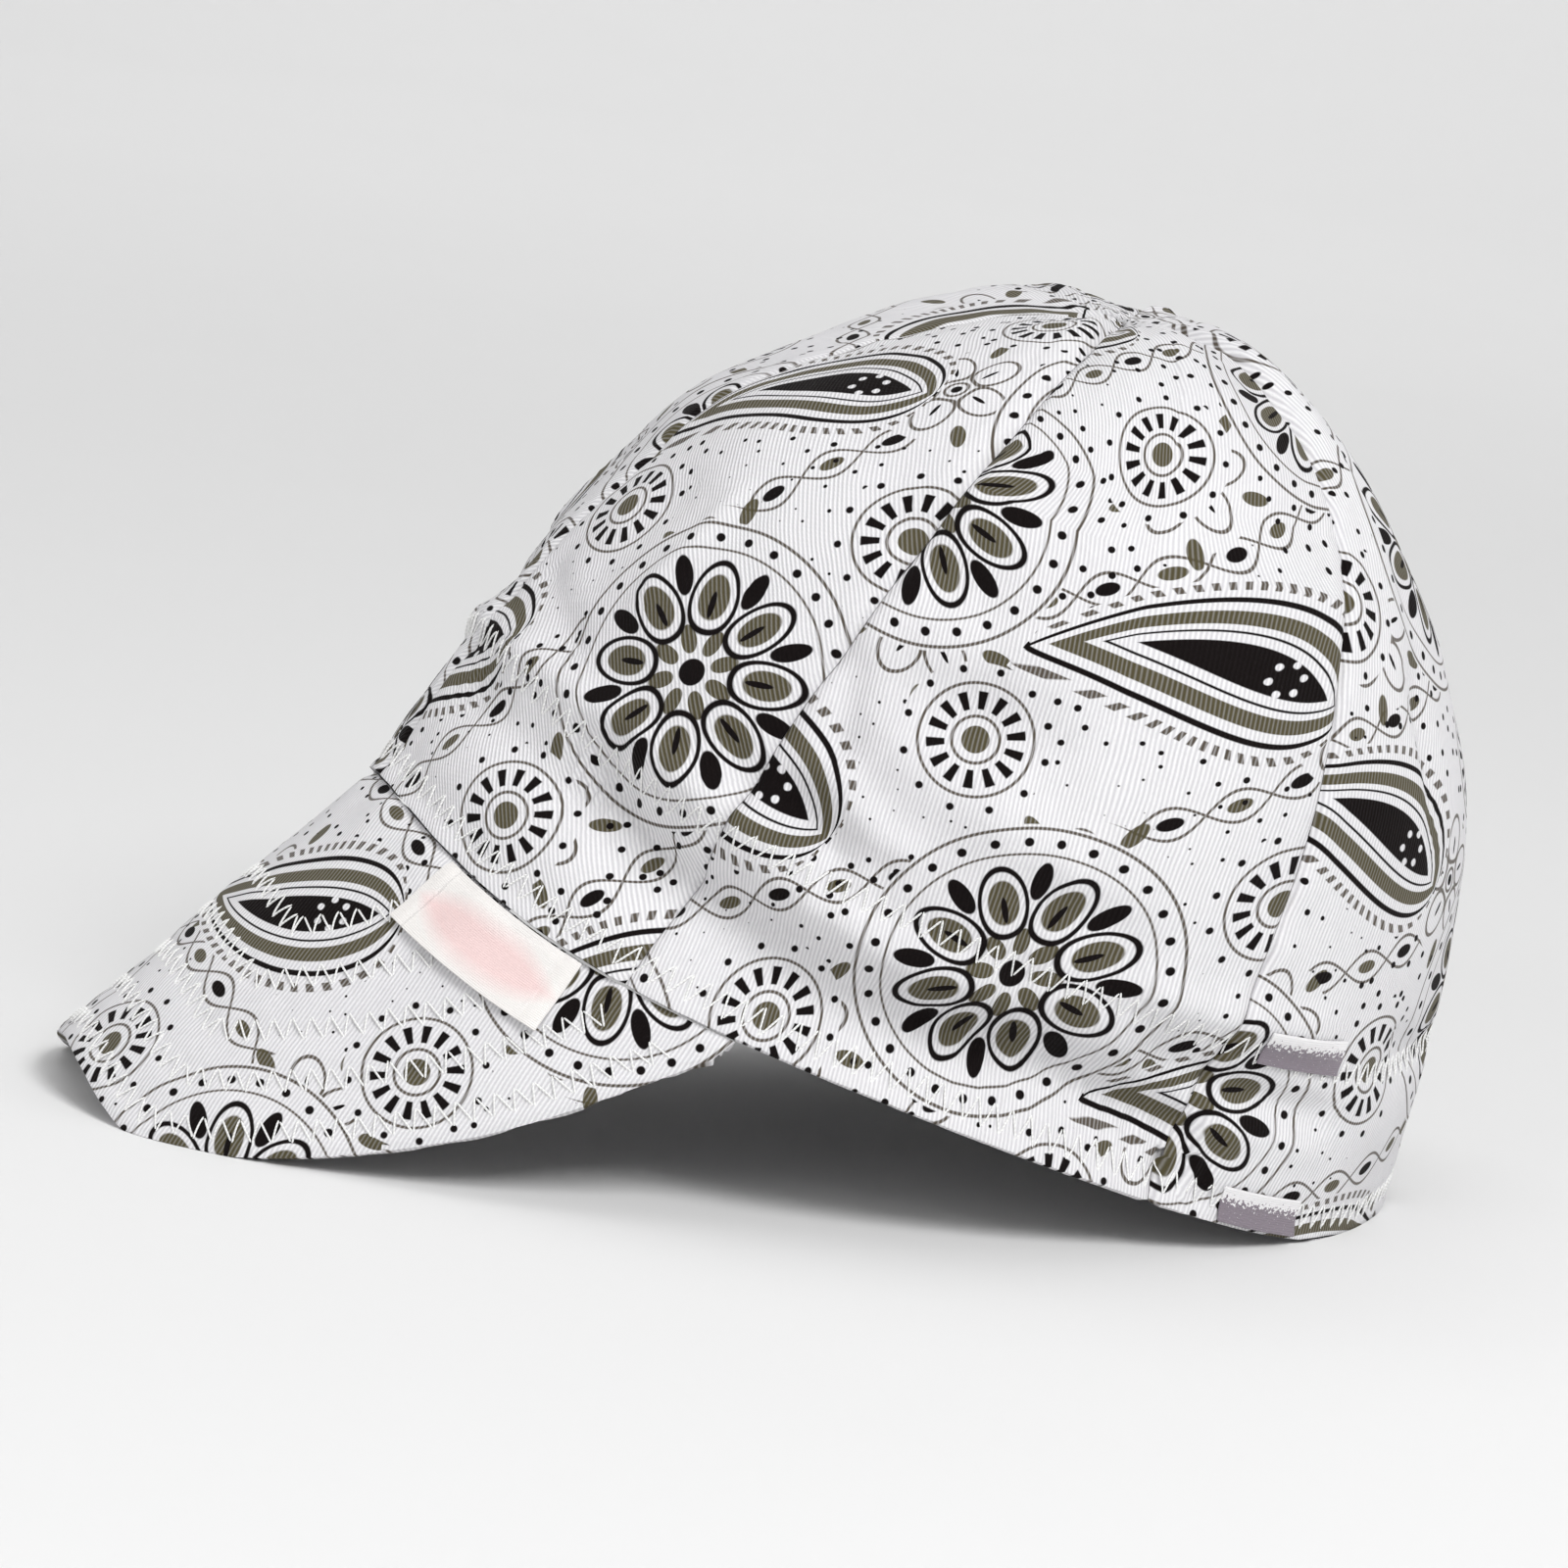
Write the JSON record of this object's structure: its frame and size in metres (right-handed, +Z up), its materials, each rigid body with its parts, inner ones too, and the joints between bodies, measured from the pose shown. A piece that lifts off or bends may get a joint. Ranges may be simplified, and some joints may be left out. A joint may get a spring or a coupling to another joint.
{
  "type": "welding cap",
  "caption": "Soft cloth welder's cap with a round six-gore crown, a short drooping peak, an inner sweatband and zigzag stitching.",
  "frame": {"origin": "on the surface that the cap rests on, under the middle of its outline", "axes": "+Z up, the peak towards -Y, the wearer's left towards +X"},
  "size_m": [0.1684, 0.271, 0.1688],
  "materials": {
    "printed_twill": "white cotton twill printed in black and olive",
    "plain_twill": "plain cotton twill",
    "woven_label": "white satin weave",
    "satin": "grey satin ribbon"
  },
  "bodies": {
    "root": {"front_gore_left": "printed_twill", "front_gore_right": "printed_twill", "side_gore_left": "printed_twill", "side_gore_right": "printed_twill", "back_gore_left": "printed_twill", "back_gore_right": "printed_twill", "peak": "printed_twill", "sweatband": "plain_twill", "peak_label": "woven_label", "satin_tab_lower": "satin", "satin_tab_upper": "satin"}
  },
  "joints": []
}
